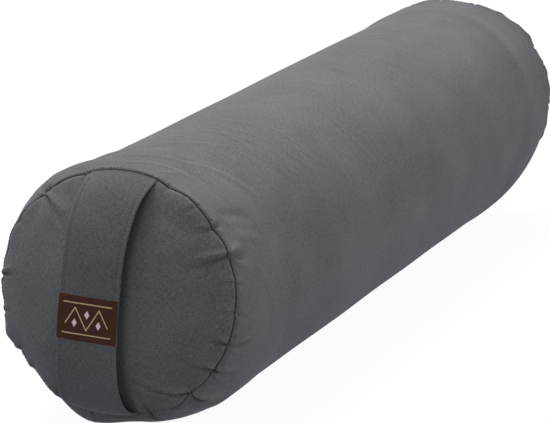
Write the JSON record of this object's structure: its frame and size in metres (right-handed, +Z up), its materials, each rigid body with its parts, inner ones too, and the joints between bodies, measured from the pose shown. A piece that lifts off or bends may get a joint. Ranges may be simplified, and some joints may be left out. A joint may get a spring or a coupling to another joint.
{
  "type": "round yoga bolster",
  "caption": "Round husk-filled yoga bolster: zipped cotton cover with a carrying strap on one end panel, over a zipped inner cushion.",
  "frame": {"origin": "on the floor, under the middle of the bolster, at the centre of the flat that it rests on", "axes": "+X along the bolster from the strap's end to the far end, +Z up, so the zip is on the +Y side"},
  "size_m": [0.7381, 0.2222, 0.2201],
  "materials": {
    "cover_cloth": "matt woven cotton canvas, mid grey",
    "strap_cloth": "matt woven cotton canvas, folded and top-stitched",
    "label_cloth": "satin-woven label, dark brown",
    "inner_cloth": "unbleached cotton",
    "hulls": "loose buckwheat hulls",
    "zip_tape": "grey polyester tape",
    "zip_coil": "grey nylon coil",
    "zip_metal": "gunmetal zinc casting"
  },
  "bodies": {
    "root": {"tube_panel": "cover_cloth", "handle_end_panel": "cover_cloth", "far_end_panel": "cover_cloth", "zip_tape_upper": "zip_tape", "zip_tape_lower": "zip_tape", "zip_coil_upper": "zip_coil", "zip_coil_lower": "zip_coil", "zip_top_stop_upper": "zip_metal", "zip_top_stop_lower": "zip_metal", "zip_bottom_stop": "zip_metal", "inner_tube_panel": "inner_cloth", "inner_handle_end_panel": "inner_cloth", "inner_far_end_panel": "inner_cloth", "inner_zip_tape_upper": "inner_cloth", "inner_zip_tape_lower": "inner_cloth", "inner_zip_coil_upper": "zip_coil", "inner_zip_coil_lower": "zip_coil", "inner_zip_top_stop_upper": "zip_metal", "inner_zip_top_stop_lower": "zip_metal", "inner_zip_bottom_stop": "zip_metal", "hull_filling": "hulls"},
    "strap_top_link": {"strap_upper_run": "strap_cloth"},
    "strap_handle": {"strap_grip": "strap_cloth", "woven_label": "label_cloth"},
    "strap_bottom_link": {"strap_lower_run": "strap_cloth"},
    "cover_zip_slider": {"zip_slider": "zip_metal"},
    "cover_zip_pull": {"zip_pull": "zip_metal"},
    "inner_cushion_slider": {"inner_zip_slider": "zip_metal"}
  },
  "joints": [
    {"name": "strap_lift", "type": "slide", "parent": "root", "child": "strap_handle", "axis": [-1, 0, 0], "range_m": [0, 0.012], "stiffness_N_per_m": 40},
    {"name": "strap_upper_swing", "type": "hinge", "parent": "root", "child": "strap_top_link", "pos_m": [-0.31029, 0, 0.21637], "axis": [-0.0797, 0.9968, 0], "range_deg": [0, 9]},
    {"name": "strap_lower_swing", "type": "hinge", "parent": "root", "child": "strap_bottom_link", "pos_m": [-0.34557, 0, 0.02037], "axis": [-0.0797, 0.9968, 0], "range_deg": [-12, 0]},
    {"name": "zip_slide", "type": "slide", "parent": "root", "child": "cover_zip_slider", "axis": [1, 0, 0], "range_m": [0, 0.48]},
    {"name": "pull_flip", "type": "hinge", "parent": "cover_zip_slider", "child": "cover_zip_pull", "pos_m": [-0.2412, 0.10917, 0.13612], "axis": [0, -0.2588, 0.9659], "range_deg": [0, 170]},
    {"name": "inner_zip_slide", "type": "slide", "parent": "root", "child": "inner_cushion_slider", "axis": [1, 0, 0], "range_m": [0, 0.28]}
  ],
  "couplings": [
    {"joint": "strap_upper_swing", "follows": "strap_lift", "rad_per_m": 12.8},
    {"joint": "strap_lower_swing", "follows": "strap_lift", "rad_per_m": -16.4}
  ]
}
